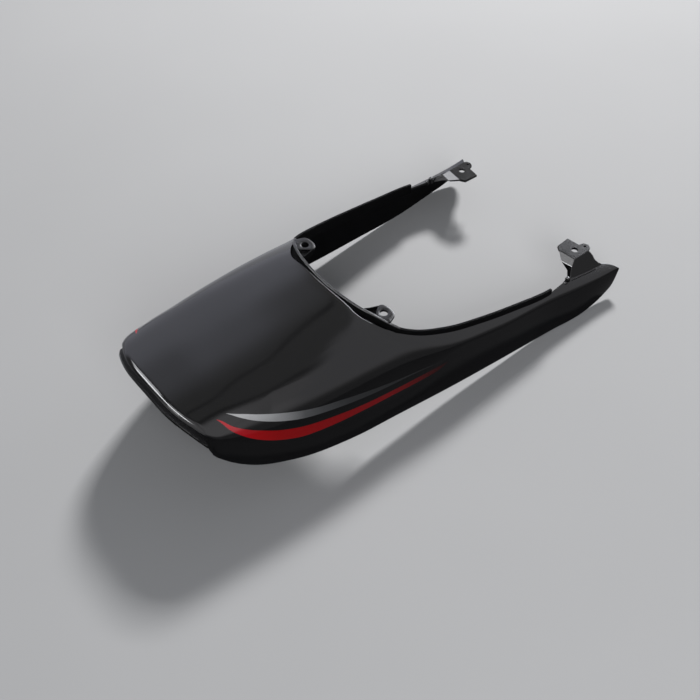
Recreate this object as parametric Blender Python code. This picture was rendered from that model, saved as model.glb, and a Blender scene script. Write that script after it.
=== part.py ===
"""Motorcycle tail fairing: one moulded U-shaped shell with a lip, two tabs and two front brackets."""
import math

import bmesh
import bpy
import numpy as np
from mathutils import Vector

# Driving dimensions, metres
LENGTH = 0.556          # tail end to arm tips, along Y
WIDTH = 0.275           # across both arms at their lower edge, along X
HEIGHT = 0.124         # resting plane to the crown of the deck, along Z
WALL = 0.0025           # thickness of the moulded skin
LIP_WALL = 0.0025       # thickness of the upstanding lip round the seat opening
LIP_DEPTH = 0.0135      # lip from its top edge to its lower edge
TAB_REACH = 0.0108      # radius of the round end of each tab
TAB_WALL = 0.003        # thickness of a tab
TAB_HOLE = 0.0086      # hole in a tab
BRACKET_WALL = 0.003    # thickness of the front brackets
BRACKET_HOLE = 0.008    # bolt hole in a bracket's top plate
PIN_HOLE = 0.003        # small locating hole beside it

# The outline curves are drawn for this size in millimetres and scaled to the sizes above
DRAWN = (275.0, 556.0, 124.0)
FOOT = 1.2              # the skin's inner rim hangs this far below the drawn lower edge, millimetres

# Lower edge of one side from the tail's middle to the arm's tip: rib, across, along, up
LOWER_EDGE = [(-90, 0, 0, 110), (-50, 40, 1.2, 109.3), (-22, 66.5, 8.8, 102.5), (-5, 79.5, 16.5, 94.5),
              (10, 84, 22, 81.5), (30, 90, 35, 64.5), (52, 97, 53, 52), (95, 109.5, 95.8, 38),
              (155, 119, 154.5, 28.5), (220, 122.3, 219.5, 20), (290, 125.5, 290.5, 11),
              (364, 129, 363.5, 5), (444, 132.8, 443.5, 0), (497, 137.5, 496.5, 0),
              (533, 136.3, 533, 7), (546, 135, 547, 13.5), (556, 133.5, 555.4, 31)]
# Edge where the deck or an arm's top face turns into the side: rib, across, along
CREASE = [(-90, 0, 5.5), (-50, 40, 7.5), (-22, 62, 14), (-5, 73.5, 18.4), (10, 81, 24.8),
          (30, 87.7, 37), (52, 93.8, 55), (95, 101.5, 96), (155, 107.5, 154.5), (220, 113, 219.5),
          (290, 119.5, 290.5), (364, 124.3, 363.5), (444, 125.5, 443.5), (497, 128.5, 496.5),
          (533, 131, 533), (556, 132.5, 555)]
# Inner end of the ribs: inside the deck, then the seat opening's edge, then the arm's inner edge
INNER = [(-90, 0, 30), (-50, 33, 33), (-22, 49, 40), (-5, 56, 47), (10, 60.5, 55), (30, 64.5, 67),
         (52, 68, 83), (95, 73.5, 115), (155, 80, 165), (220, 86, 222), (252, 87.5, 246)]
ARM_INNER = [(252, 87.5, 246), (264, 94.3, 258), (292, 104, 292), (342, 111.3, 342),
             (393, 115.8, 393), (449, 118.5, 449), (480, 115, 480), (515, 114.5, 515),
             (538, 117.5, 540), (550, 126, 551), (556, 131.6, 554.4)]
# Rear edge of the seat opening from the middle to the corner: across, along
OPENING_REAR = [(0, 219), (30, 221.5), (60, 227.5), (78.5, 238), (87.5, 246)]
# Height of the lip's top: along the opening, rib or rear position, up
LIP_TOP = [(219, 120.5), (228, 119), (240, 110.5), (247, 105.3), (258, 99.8), (292, 87.8),
           (342, 75.5), (393, 65), (449, 54.5)]
# Top surface: along, across of its edge, up of its edge, rise from the edge to the middle
TOP = [(0, 89, 99, 21.5), (30, 90.5, 99.7, 21.3), (53, 93.5, 100, 21.7), (95, 101.5, 97, 24.7),
       (133, 105.5, 93.5, 29), (193, 110.5, 87, 34.7), (220, 113, 82, 39), (250, 115.8, 77.5, 38.5),
       (290, 119.5, 70.5, 33), (364, 124.3, 56, 31), (444, 125.5, 44.5, 27), (490, 128.2, 38.5, 24),
       (524, 130.3, 35, 21), (556, 132.5, 32.5, 18)]
# Rounding of that edge: rib, reach down the side, reach over the top
ROUNDING = [(-90, 5, 7), (-22, 5, 8), (10, 5, 8), (52, 19, 25), (95, 31, 36), (155, 37, 42),
            (220, 37, 36), (250, 31, 26), (290, 10, 11), (364, 4.5, 6), (530, 4, 5), (556, 1.5, 0.4)]
SIDE_BULGE = 1.3        # outward swell of the side between its edges, millimetres


def curve(knots, at):
    """Smooth curve through a short list of knots, first column the parameter."""
    table = np.array(knots, float)
    key, val = table[:, 0], table[:, 1:]
    step = np.diff(key)[:, None]
    slope = np.diff(val, axis=0) / step
    tangent = np.empty_like(val)
    tangent[0], tangent[-1] = slope[0], slope[-1]
    tangent[1:-1] = (slope[:-1] * step[1:] + slope[1:] * step[:-1]) / (step[1:] + step[:-1])
    at = np.clip(np.asarray(at, float), key[0], key[-1])
    i = np.clip(np.searchsorted(key, at, side="right") - 1, 0, len(key) - 2)
    h = key[i + 1] - key[i]
    t = ((at - key[i]) / h)[..., None]
    h = h[..., None]
    return ((2 * t**3 - 3 * t**2 + 1) * val[i] + (t**3 - 2 * t**2 + t) * h * tangent[i]
            + (3 * t**2 - 2 * t**3) * val[i + 1] + (t**3 - t**2) * h * tangent[i + 1])


def crown(across, along):
    """Height of the top surface: level in the middle, falling towards its edge."""
    edge, up, rise = np.moveaxis(curve(TOP, along), -1, 0)
    return up + rise * (1.0 - np.clip(np.abs(across) / edge, 0, 1.2) ** 3)


def to_frame(p):
    """Drawn millimetres (across, along, up) to the part's frame in metres."""
    p = np.asarray(p, float)
    return np.stack([p[..., 0] / DRAWN[0] * WIDTH, (p[..., 1] / DRAWN[1] - 0.5) * LENGTH,
                     (p[..., 2] + FOOT) / DRAWN[2] * HEIGHT], -1)


def ribs(at, side_steps, round_steps, top_steps):
    """Grid of points: each rib climbs the side, rounds the edge and runs in over the top."""
    low = curve(LOWER_EDGE, at)
    bend = curve(CREASE, at)
    inner = np.where(at[:, None] <= 252, curve(INNER, at), curve(ARM_INNER, at))
    reach = curve(ROUNDING, at)
    bend = np.concatenate([bend, crown(bend[:, 0], bend[:, 1])[:, None]], 1)
    side = low - bend
    tall = np.linalg.norm(side, axis=1)[:, None]
    down = side / tall
    start = bend + down * np.minimum(reach[:, :1], tall * 0.75)
    inward = inner - bend[:, :2]
    wide = np.linalg.norm(inward, axis=1)[:, None]
    inward = inward / wide
    over = bend[:, :2] + inward * np.minimum(reach[:, 1:2], wide * 0.85)
    over_up = crown(over[:, 0], over[:, 1])
    ahead = over + inward * 0.5
    slope = np.concatenate([inward, (crown(ahead[:, 0], ahead[:, 1]) - over_up)[:, None] / 0.5], 1)
    over = np.concatenate([over, over_up[:, None]], 1)
    out = -np.concatenate([inward, np.zeros((len(at), 1))], 1)
    grid = []
    for k in range(side_steps):
        f = k / side_steps
        swell = SIDE_BULGE * math.sin(math.pi * f) * np.clip(tall / 50, 0, 1)
        grid.append(low + (start - low) * f + out * swell)
    span = np.linalg.norm(over - start, axis=1)[:, None] * 1.05
    for k in range(round_steps):
        t = k / round_steps
        grid.append((2 * t**3 - 3 * t**2 + 1) * start + (t**3 - 2 * t**2 + t) * span * -down
                    + (3 * t**2 - 2 * t**3) * over + (t**3 - t**2) * span * slope)
    for k in range(top_steps + 1):
        f = k / top_steps
        flat = over[:, :2] + (inner - over[:, :2]) * f
        grid.append(np.concatenate([flat, crown(flat[:, 0], flat[:, 1])[:, None]], 1))
    return np.stack(grid, 1)


def deck(tail, side):
    """Coons patch in plan between the ribs' inner ends and the opening, lifted to the crown."""
    rows, cols = len(side), len(tail)
    v = np.linspace(0, 1, rows)
    middle = np.stack([np.zeros(rows), tail[0, 1] + (OPENING_REAR[0][1] - tail[0, 1]) * v], 1)
    rear = np.array(OPENING_REAR, float)
    dist = np.concatenate([[0], np.cumsum(np.linalg.norm(np.diff(rear, axis=0), axis=1))])
    front = curve(np.column_stack([dist, rear]), np.linspace(0, dist[-1], cols))
    u = np.linspace(0, 1, cols)[None, :, None]
    v = v[:, None, None]
    flat = ((1 - v) * tail[None] + v * front[None] + (1 - u) * middle[:, None] + u * side[:, None]
            - (1 - u) * (1 - v) * tail[0] - u * (1 - v) * tail[-1]
            - (1 - u) * v * front[0] - u * v * front[-1])
    return np.concatenate([flat, crown(flat[..., 0], flat[..., 1])[..., None]], -1), front


def new_object(name, bm):
    mesh = bpy.data.meshes.new(name)
    bm.to_mesh(mesh)
    bm.free()
    obj = bpy.data.objects.new(name, mesh)
    bpy.context.scene.collection.objects.link(obj)
    return obj


def add_grid(bm, points, flip):
    """Quads over a grid of points, on both sides of the middle plane."""
    for sign in (1, -1):
        verts = [[bm.verts.new((sign * p[0], p[1], p[2])) for p in row] for row in to_frame(points)]
        for a, b in zip(verts, verts[1:]):
            for i in range(len(a) - 1):
                quad = [a[i], a[i + 1], b[i + 1], b[i]]
                bm.faces.new(quad if (sign > 0) != flip else quad[::-1])


def prism(bm, outline, low, high):
    """Closed prism over a drawn outline, on both sides of the middle plane."""
    for sign in (1, -1):
        loops = []
        for up in (low, high):
            ring = to_frame(np.column_stack([outline, np.broadcast_to(up, len(outline))]))
            loops.append([bm.verts.new((sign * p[0], p[1], p[2])) for p in ring])
        n = len(outline)
        bm.faces.new(loops[0])
        bm.faces.new(loops[1][::-1])
        for i in range(n):
            j = (i + 1) % n
            bm.faces.new([loops[0][i], loops[1][i], loops[1][j], loops[0][j]])


def helper(obj):
    """Pieces that only shape the fairing are left out of the build."""
    obj.hide_render = True
    obj.display_type = "WIRE"
    return obj


def boolean(obj, other, operation):
    mod = obj.modifiers.new(operation.title(), "BOOLEAN")
    mod.operation = operation
    mod.solver = "EXACT"
    mod.object = other


for old in list(bpy.data.objects):
    bpy.data.objects.remove(old, do_unlink=True)

# Skin: ribs round the outside and the deck patch inside them, thickened inwards
tail_ribs = np.array([-90, -76, -62, -49, -37, -27, -18, -11, -5], float)
side_ribs = np.array([-5, 1, 8, 16, 25, 36, 50, 66, 84, 104, 126, 150, 175, 198, 218, 236, 252], float)
arm_ribs = np.array([252, 262, 274, 290, 312, 336, 362, 390, 420, 449, 470, 488, 506, 522, 536,
                     546, 552, 556], float)
around = np.concatenate([tail_ribs, side_ribs[1:], arm_ribs[1:]])
band = ribs(around, 4, 4, 2)
ends = band[:, -1, :2]
nt, ns = len(tail_ribs), len(side_ribs)
patch, opening_rear = deck(ends[:nt], ends[nt - 1:nt + ns - 1])

bm = bmesh.new()
add_grid(bm, band, False)
add_grid(bm, patch, False)
bmesh.ops.remove_doubles(bm, verts=bm.verts, dist=0.00001)
bmesh.ops.recalc_face_normals(bm, faces=bm.faces)
top_face = max(bm.faces, key=lambda f: f.calc_center_median().z)
if top_face.normal.z < 0:
    bmesh.ops.reverse_faces(bm, faces=bm.faces)
fairing = new_object("tail_fairing", bm)
skin = fairing.modifiers.new("Skin", "SOLIDIFY")
skin.thickness = WALL
skin.offset = -1.0
skin.use_even_offset = True

# Lip: a thin wall that follows the opening's edge from arm to arm
lip_ribs = np.array([252, 257, 262, 268, 276, 290, 312, 336, 362, 390, 420, 449], float)
arm_line = curve(ARM_INNER, lip_ribs)
line = np.concatenate([opening_rear, arm_line[1:]])
line_key = np.concatenate([opening_rear[:, 1], arm_line[1:, 1]])
line_top = curve(LIP_TOP, line_key)[:, 0]
whole = np.concatenate([(line * [-1, 1])[:0:-1], line])
whole_top = np.concatenate([line_top[:0:-1], line_top])
path = to_frame(np.column_stack([whole, whole_top]))
along = np.gradient(path[:, :2], axis=0)
along /= np.linalg.norm(along, axis=1)[:, None]
across = np.stack([along[:, 1], -along[:, 0]], 1) * LIP_WALL / 2
bm = bmesh.new()
rings = []
for p, side in zip(path, across):
    corners = [(p[0] + side[0], p[1] + side[1], p[2]), (p[0] - side[0], p[1] - side[1], p[2]),
               (p[0] - side[0], p[1] - side[1], p[2] - LIP_DEPTH),
               (p[0] + side[0], p[1] + side[1], p[2] - LIP_DEPTH)]
    rings.append([bm.verts.new(c) for c in corners])
for a, b in zip(rings, rings[1:]):
    for i in range(4):
        bm.faces.new([a[i], a[(i + 1) % 4], b[(i + 1) % 4], b[i]])
bm.faces.new(rings[0])
bm.faces.new(rings[-1])
bmesh.ops.recalc_face_normals(bm, faces=bm.faces)
lip = helper(new_object("lip_shape", bm))
boolean(fairing, lip, "UNION")

# Tabs: round lugs that stand into the opening's rear corners
tab_middle, tab_top = (66.0, 243.0), 112.5
bm = bmesh.new()
reach = TAB_REACH * 1000
arc = [(65.5 + reach * math.cos(math.radians(a)), 241.5 + reach * math.sin(math.radians(a)))
       for a in range(10, 150, 13)]
prism(bm, [(67.8, 230.6), (80, 239)] + arc + [(55.2, 245)], tab_top - TAB_WALL * 1000, tab_top)
web_low, web_high = [107, 107, 109.8, 109.8], [118.3, 118.3, tab_top - 0.6, tab_top - 0.6]
prism(bm, [(51.2, 225.4), (53.4, 226), (58, 242.5), (56.3, 243.8)], web_low, web_high)
bmesh.ops.recalc_face_normals(bm, faces=bm.faces)
tabs = helper(new_object("tab_shape", bm))
boolean(fairing, tabs, "UNION")

# Front brackets: a level top plate, a sloped facet behind it and a web down to the arm
plate_up = 58.0
corner = {
    "plate_rear_in": (84, 500, plate_up), "plate_in": (77, 504, plate_up),
    "plate_front_in": (76, 522.5, plate_up), "ear_in": (91.7, 524.5, plate_up),
    "ear_front": (93.6, 530.8, plate_up), "ear_tip": (98.6, 533, plate_up),
    "ear_out": (103.4, 530.8, plate_up), "plate_out": (105.3, 526, plate_up),
    "plate_rear_out": (104.8, 502.5, plate_up), "fold_in": (94.5, 492.5, 53.3),
    "fold_out": (108.6, 495, 53.3), "foot_in": (114.8, 484.5, 42.3),
    "foot_rear": (118.4, 485.5, 41.8), "foot_front": (120.8, 543.5, 34.8),
    "web_front": (109, 534.5, 49),
}
faces = [("plate_rear_in", "plate_rear_out", "plate_out", "ear_out", "ear_tip", "ear_front",
          "ear_in", "plate_front_in", "plate_in"),
         ("plate_rear_in", "fold_in", "fold_out", "plate_rear_out"),
         ("fold_in", "foot_in", "foot_rear", "fold_out"),
         ("fold_out", "foot_rear", "plate_rear_out"),
         ("plate_rear_out", "foot_rear", "foot_front", "web_front", "plate_out")]
bm = bmesh.new()
for sign in (1, -1):
    verts = {}
    for name, drawn in corner.items():
        p = to_frame(drawn)
        verts[name] = bm.verts.new((sign * p[0], p[1], p[2]))
    for names in faces:
        quad = [verts[n] for n in names]
        bm.faces.new(quad if sign > 0 else quad[::-1])
bmesh.ops.triangulate(bm, faces=bm.faces)
brackets = helper(new_object("bracket_shape", bm))
sheet = brackets.modifiers.new("Sheet", "SOLIDIFY")
sheet.thickness = BRACKET_WALL
sheet.offset = -1.0
sheet.use_even_offset = True
boolean(fairing, brackets, "UNION")

# Holes: tab holes, bracket bolt holes and the small pin holes
bm = bmesh.new()
for middle, up, size in ((tab_middle, tab_top, TAB_HOLE), ((94.4, 514.2), plate_up, BRACKET_HOLE),
                         ((97.9, 528), plate_up, PIN_HOLE)):
    for sign in (1, -1):
        p = to_frame((middle[0], middle[1], up))
        made = bmesh.ops.create_cone(bm, cap_ends=True, segments=32 if size > 0.005 else 16,
                                     radius1=size / 2, radius2=size / 2, depth=0.012)
        bmesh.ops.translate(bm, verts=made["verts"], vec=Vector((sign * p[0], p[1], p[2] - 0.001)))
holes = helper(new_object("hole_cutter", bm))
boolean(fairing, holes, "DIFFERENCE")

paint = bpy.data.materials.new("black_gloss_paint")
paint.use_nodes = True
shader = paint.node_tree.nodes["Principled BSDF"]
shader.inputs["Base Color"].default_value = (0.004, 0.004, 0.005, 1)
shader.inputs["Roughness"].default_value = 0.08
shader.inputs["Metallic"].default_value = 0.0
shader.inputs["Coat Weight"].default_value = 1.0
fairing.data.materials.append(paint)
for obj in (fairing, brackets, lip, tabs, holes):
    obj.data.shade_smooth()
    obj.data.set_sharp_from_angle(angle=math.radians(35))
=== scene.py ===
import math
import bmesh
import bpy
import numpy as np
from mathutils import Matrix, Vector
from mathutils.geometry import delaunay_2d_cdt


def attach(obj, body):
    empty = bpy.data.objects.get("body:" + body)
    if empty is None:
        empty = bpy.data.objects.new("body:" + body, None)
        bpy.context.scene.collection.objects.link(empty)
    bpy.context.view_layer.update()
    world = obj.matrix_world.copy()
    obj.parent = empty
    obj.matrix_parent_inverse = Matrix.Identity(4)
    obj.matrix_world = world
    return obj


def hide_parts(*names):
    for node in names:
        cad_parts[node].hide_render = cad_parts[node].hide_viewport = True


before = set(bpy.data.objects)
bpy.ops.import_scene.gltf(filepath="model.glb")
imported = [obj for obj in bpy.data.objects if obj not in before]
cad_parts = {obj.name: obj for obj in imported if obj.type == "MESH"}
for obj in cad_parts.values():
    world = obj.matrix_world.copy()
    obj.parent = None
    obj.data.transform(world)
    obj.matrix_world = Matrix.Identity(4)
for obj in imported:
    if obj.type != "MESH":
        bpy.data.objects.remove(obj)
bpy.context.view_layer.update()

# The fairing is drawn in millimetres: across from the bike's middle plane, along from the tail end, up.
# Points of a mesh nearer than weld are joined, or fineWeld on the small pieces, in metres.
drawn = {"length": 556.0, "foot": 1.2, "weld": 0.00002, "fineWeld": 0.00001}


# Drawn millimetres to the frame's metres: back by half the length, up by the foot, over a thousand
def toFrame(p):
    p = np.asarray(p, float)
    return np.stack([p[..., 0], p[..., 1] - drawn["length"] / 2, p[..., 2] + drawn["foot"]], -1) / 1000


# Cubic from a to b at the share t of the way, with its slopes over the whole way at both ends
def cubic(t, a, leaving, b, arriving):
    return ((2 * t**3 - 3 * t**2 + 1) * a + (t**3 - 2 * t**2 + t) * leaving
            + (3 * t**2 - 2 * t**3) * b + (t**3 - t**2) * arriving)


# Cubic pieces through the knots, each slope the weighted mean of the chords on its two sides
def through(knots, at):
    table = np.array(knots, float)
    key, val = table[:, 0], table[:, 1:]
    step = np.diff(key)[:, None]
    chord = np.diff(val, axis=0) / step
    slope = np.empty_like(val)
    slope[0], slope[-1] = chord[0], chord[-1]
    slope[1:-1] = (chord[:-1] * step[1:] + chord[1:] * step[:-1]) / (step[1:] + step[:-1])
    at = np.clip(np.asarray(at, float), key[0], key[-1])
    i = np.clip(np.searchsorted(key, at, side="right") - 1, 0, len(key) - 2)
    h = key[i + 1] - key[i]
    t = ((at - key[i]) / h)[..., None]
    h = h[..., None]
    return cubic(t, val[i], h * slope[i], val[i + 1], h * slope[i + 1])


bell = np.linspace(-2.2, 2.2, 9)  # where the neighbours lie, in spreads, and what each weighs
bellWeight = np.exp(-bell**2 / 2) / np.exp(-bell**2 / 2).sum()


# The curve averaged over a bell of neighbours: odd reflection past the last knot keeps its end in
# place, and before the first knot the listed columns change sign, as on the fairing's other half
def flowing(knots, at, spread, mirrored=()):
    first, last = knots[0][0], knots[-1][0]
    at = np.asarray(at, float)
    near = at[..., None] + bell * np.asarray(spread, float)[..., None]
    back = near < first
    past = near > last
    value = through(knots, np.where(back, 2 * first - near, np.where(past, 2 * last - near, near)))
    end = np.array(knots[-1][1:], float)
    value = np.where(past[..., None], 2 * end - value, value)
    for k in mirrored:
        value[..., k] = np.where(back, -value[..., k], value[..., k])
    return (value * bellWeight[:, None]).sum(-2)


shell = {
    # rib, across, along, up of the lower edge, from the tail's middle to the arm's tip
    "lowerEdge": [(-90, 0, 0, 110), (-50, 40, 1.2, 109.3), (-22, 66.5, 8.8, 102.5), (-8, 77.6, 15, 94),
                  (-3.5, 80, 17.2, 90.5), (-1.5, 80.8, 18, 85), (4, 82.5, 19.8, 81), (10, 84, 22, 78),
                  (30, 90, 35, 64.5), (52, 97, 53, 52), (95, 109.5, 95.8, 38),
                  (155, 119, 154.5, 28.5), (220, 122.3, 219.5, 20), (290, 125.5, 290.5, 11),
                  (364, 129, 363.5, 5), (444, 132.8, 443.5, 0), (497, 137.5, 496.5, 0),
                  (533, 136.3, 533, 7), (546, 135, 547, 13.5), (556, 133.5, 555.4, 31)],
    # rib, across, along of the edge where the deck or an arm's top turns into the side
    "crease": [(-90, 0, 5.5), (-50, 40, 7.5), (-22, 62, 14), (-5, 73.5, 18.4), (10, 81, 24.8),
               (30, 87.7, 37), (52, 93.8, 55), (95, 101.5, 96), (155, 107.5, 154.5), (220, 113, 219.5),
               (290, 119.5, 290.5), (364, 124.3, 363.5), (444, 125.5, 443.5), (497, 128.5, 496.5),
               (533, 131, 533), (556, 132.5, 555)],
    # rib, across, along of the ribs' inner ends: in the deck, then the arm's inner edge
    "inner": [(-90, 0, 30), (-50, 33, 33), (-22, 49, 40), (-5, 56, 47), (10, 60.5, 55), (30, 64.5, 67),
              (52, 68, 83), (95, 73.5, 115), (155, 80, 165), (220, 86, 222), (252, 87.5, 246)],
    "armInner": [(252, 87.5, 246), (264, 94.3, 258), (292, 104, 292), (342, 111.3, 342),
                 (393, 115.8, 393), (449, 118.5, 449), (480, 115, 480), (515, 114.5, 515),
                 (538, 117.5, 540), (550, 126, 551), (556, 131.6, 554.4)],
    "openingRear": [(0, 219), (30, 221.5), (60, 227.5), (78.5, 238), (87.5, 246)],
    # along, across of the top surface's edge, its height there, rise to the middle
    "top": [(0, 89, 99, 21.5), (30, 90.5, 99.7, 21.3), (53, 93.5, 100, 21.7), (95, 101.5, 97, 24.7),
            (133, 105.5, 93.5, 29), (193, 110.5, 87, 34.7), (220, 113, 82, 39), (250, 115.8, 77.5, 38.5),
            (290, 119.5, 70.5, 33), (364, 124.3, 56, 31), (444, 125.5, 44.5, 27), (490, 128.2, 38.5, 22),
            (524, 130.3, 35, 16), (556, 132.5, 32.5, 13)],
    # rib, how far the rounding reaches down the side and in over the top
    "rounding": [(-90, 3.6, 4.6), (-22, 3.6, 4.8), (0, 4.0, 5.5), (16, 6, 9.5), (52, 19, 25), (95, 31, 36),
                 (155, 37, 42), (220, 37, 36), (250, 31, 26), (290, 10, 11), (364, 4.5, 6), (530, 4, 5),
                 (556, 1.5, 0.4)],
    # rib, how far the curves are averaged along the ribs there
    "ease": [(-90, 6), (-30, 4), (-12, 3), (-8, 1), (2, 1), (12, 3), (40, 5), (90, 6), (500, 6), (540, 2),
             (556, 1.2)],
    "topEase": 9.0,  # the same for the top surface, along the bike
    "openingEase": (0.01, 6.0),  # least and most of it for the opening's rear edge
    "crownEnds": 1.2,  # share of the way to the top's edge past which the crown falls no more
    "mostRound": (0.75, 0.85),  # largest shares of the side and of the top that the rounding takes
    "roundFull": 1.05,  # fullness of the rounding's curve
    "swell": (1.3, 50.0),  # outward swell of the side, and the height from which it is full
    "bead": (2.4, 0.7),  # height of the rear face's lower bead, how far the face above is set in
    "beadEase": (0.8, 1.6),  # ways over which that begins above the bead and ends under the roll
    "rearEnds": (-2.0, 12.0),  # ribs between which it dies out
    "pocket": (-12.0, 9.5, 1.8, 2.5),  # rib, half width, depth and easing of the rear corner's pocket
    "bare": (-2.5, 0.4, 0.7),  # rear face in bare black as painted shade: last rib, margins over the bead, under the roll
    # slot of the bare black that paints shade on the rear face and in the groove
    "shadeSlot": 2,
    "wall": 0.0025,
    "rim": (0.0005, 2, 50),  # radius, steps and least angle of the rounded edges
    # first and last rib of each stretch, and how many
    "tailRibs": [(-90, -30, 25), (-30, -5, 18)],
    "sideRibs": [(-5, 60, 38), (60, 252, 64)],
    "armRibs": [(252, 300, 22), (300, 500, 54), (500, 556, 38)],
    "sideSteps": 18,
    "roundSteps": 16,
    "topSteps": 10,
    # share of the way from the middle to the corner, width and depth of the gap between deck and lip
    "groove": [(0, 1.5, 3.2), (0.15, 1.9, 3.3), (0.33, 2.8, 3.9), (0.42, 3.6, 4.5), (0.5, 4.7, 5.3),
               (0.58, 5.2, 5.7), (0.66, 4.3, 5.0), (0.74, 2.8, 4.0), (0.84, 1.4, 3.2), (1, 1.2, 3.2)],
    "grooveFrom": 1.3,  # where the gap starts, measured from the opening's edge line
    "grooveEnds": 0.16,  # share of the way over which the groove closes at the corner
    "grooveFloor": 0.9,  # share of the gap that its floor takes
    "edgeRoll": 1.5,  # radius of the deck's rolled front edge
    "rollSteps": 6,
}


# Height of the top surface: edge height plus a rise that falls with the cube of the share across
def crown(across, along):
    along = np.asarray(along, float)
    ease = np.full(along.shape, shell["topEase"])
    edge, up, rise = np.moveaxis(flowing(shell["top"], along, ease), -1, 0)
    return up + rise * (1.0 - np.clip(np.abs(across) / edge, 0, shell["crownEnds"]) ** 3)


# Points in plan lifted to the crown
def lifted(plan):
    return np.concatenate([plan, crown(plan[..., 0], plan[..., 1])[..., None]], -1)


# Unit directions in plan, square to a line and on its right
def squareTo(line):
    turn = np.gradient(line, axis=0)
    return (turn / np.linalg.norm(turn, axis=1)[:, None])[:, ::-1] * [1, -1]


# 0 below 0, 1 above 1, and 3x squared minus 2x cubed between
def easeStep(x):
    x = np.clip(x, 0, 1)
    return x * x * (3 - 2 * x)


# How far a curve is averaged at each rib: straight pieces through the table
def easeSpread(at):
    ribs, spreads = zip(*shell["ease"])
    return np.interp(at, ribs, spreads)


# Distance travelled along each row of points from its first: the running sum of its steps
def wayAlong(points):
    steps = np.linalg.norm(np.diff(points, axis=-2), axis=-1)
    return np.concatenate([np.zeros_like(steps[..., :1]), np.cumsum(steps, -1)], -1)


# Each rib climbs from the lower edge to the rounding, turns over it and runs in over the crown.
# Side: straight share f of the way plus swell times sin(pi f). Rounding: cubic with both end slopes.
# Top: straight share of the way in plan, lifted to the crown.
def shellRibs(at):
    spread = easeSpread(at)
    low = flowing(shell["lowerEdge"], at, spread, (0,))
    bend = lifted(flowing(shell["crease"], at, spread, (0,)))
    inner = flowing(shell["inner"] + shell["armInner"][1:], at, spread, (0,))
    reach = flowing(shell["rounding"], at, spread)
    mostDown, mostOver = shell["mostRound"]
    side = low - bend
    tall = np.linalg.norm(side, axis=1)[:, None]
    down = side / tall
    start = bend + down * np.minimum(reach[:, :1], tall * mostDown)
    inward = inner - bend[:, :2]
    wide = np.linalg.norm(inward, axis=1)[:, None]
    inward = inward / wide
    over = bend[:, :2] + inward * np.minimum(reach[:, 1:2], wide * mostOver)
    glance = 0.5  # millimetres ahead at which the crown's slope is read
    ahead, over = lifted(over + inward * glance), lifted(over)
    slope = (ahead - over) / glance
    out = -np.concatenate([inward, np.zeros((len(at), 1))], 1)
    f = (np.arange(shell["sideSteps"]) / shell["sideSteps"])[None, :, None]
    swellBy, swellTall = shell["swell"]
    swell = swellBy * np.sin(np.pi * f) * np.clip(tall / swellTall, 0, 1)[:, None]
    sidePart = low[:, None] + (start - low)[:, None] * f + out[:, None] * swell
    span = np.linalg.norm(over - start, axis=1)[:, None, None] * shell["roundFull"]
    t = (np.arange(shell["roundSteps"]) / shell["roundSteps"])[None, :, None]
    roundPart = cubic(t, start[:, None], span * -down[:, None], over[:, None], span * slope[:, None])
    climb = wayAlong(np.concatenate([sidePart, roundPart[:, :1]], 1))
    sidePart = sidePart - out[:, None] * rearInset(at, climb)[:, :-1, None]
    g = (np.arange(shell["topSteps"] + 1) / shell["topSteps"])[None, :, None]
    flat = over[:, None, :2] + (inner - over[:, :2])[:, None] * g
    return np.concatenate([sidePart, roundPart, lifted(flat)], 1)


# How far the rear face is set in: smooth steps above the bead and under the roll, times the plain inset
# that dies out past the corner plus the pocket, a bell along the ribs
def rearInset(at, climb):
    beadHigh, setIn = shell["bead"]
    beadEase, rollEase = shell["beadEase"]
    rearFrom, rearTo = shell["rearEnds"]
    pocketAt, pocketWide, pocketDeep, pocketEase = shell["pocket"]
    overBead = climb - beadHigh
    above = easeStep(overBead / beadEase) * easeStep((climb[:, -1:] - climb) / rollEase)
    plain = setIn * (1 - easeStep((at - rearFrom) / (rearTo - rearFrom)))
    pocket = pocketDeep * np.exp(-((at - pocketAt) / pocketWide)**2)
    return above * (plain[:, None] + pocket[:, None] * easeStep(overBead / pocketEase))


# Rear edge of the seat opening from the middle to its corner, evenly by length, averaged less and less
# towards the corner
def openingPath(count):
    rear = np.array(shell["openingRear"], float)
    way = wayAlong(rear)
    at = np.linspace(0, way[-1], count)
    least, most = shell["openingEase"]
    spread = np.minimum(most, way[-1] - at + least)
    return flowing(np.column_stack([way, rear]).tolist(), at, spread, (0,))


# Deck inside the ribs: in plan the blend of the tail and front curves plus that of the middle and side
# curves, less the blend of the four corners, then lifted to the crown
def deckPatch(tail, side, front):
    rows, cols = len(side), len(tail)
    v = np.linspace(0, 1, rows)
    middle = np.stack([np.zeros(rows), tail[0, 1] + (front[0, 1] - tail[0, 1]) * v], 1)
    u = np.linspace(0, 1, cols)[None, :, None]
    v = v[:, None, None]
    flat = ((1 - v) * tail[None] + v * front[None] + (1 - u) * middle[:, None] + u * side[:, None]
            - (1 - u) * (1 - v) * tail[0] - u * (1 - v) * tail[-1]
            - (1 - u) * v * front[0] - u * v * front[-1])
    return lifted(flat)


# Four corners of every cell of a rows by cols grid of points
def gridFaces(rows, cols, start=0, flip=False):
    k = start + np.arange((rows - 1) * cols).reshape(rows - 1, cols)[:, :-1].ravel()
    quad = np.stack([k, k + 1, k + cols + 1, k + cols], 1)
    return quad[:, ::-1] if flip else quad


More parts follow.
